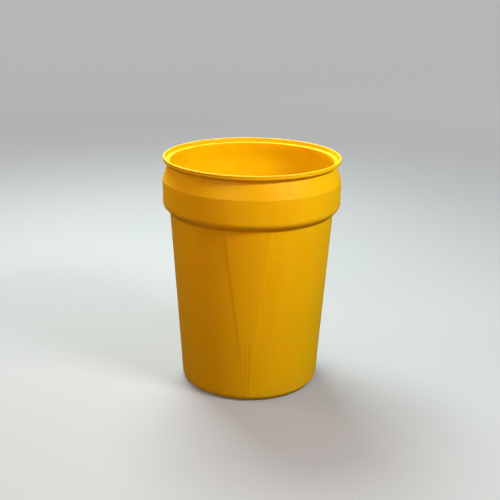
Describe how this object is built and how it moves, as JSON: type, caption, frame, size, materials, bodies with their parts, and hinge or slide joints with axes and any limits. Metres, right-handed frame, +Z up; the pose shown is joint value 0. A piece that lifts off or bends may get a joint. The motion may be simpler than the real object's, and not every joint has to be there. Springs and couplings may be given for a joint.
{
  "type": "overpack salvage drum",
  "caption": "Open-head plastic overpack salvage drum: nestable tapered body, wide shouldered collar, flanged rim with an inner lid ledge; holds a damaged or leaking container.",
  "frame": {"origin": "centre of the base, on the plane that the foot ring stands on", "axes": "+Z up along the drum's axis, -Y to the front through the middle of one V panel, where the mould's parting line runs, +X to the right seen from the front"},
  "size_m": [0.54, 0.54, 0.714],
  "materials": {
    "hdpe_yellow": "satin blow-moulded high-density polyethylene, through-coloured yellow, fine mould texture"
  },
  "bodies": {
    "root": {"drum_body": "hdpe_yellow"}
  },
  "joints": []
}
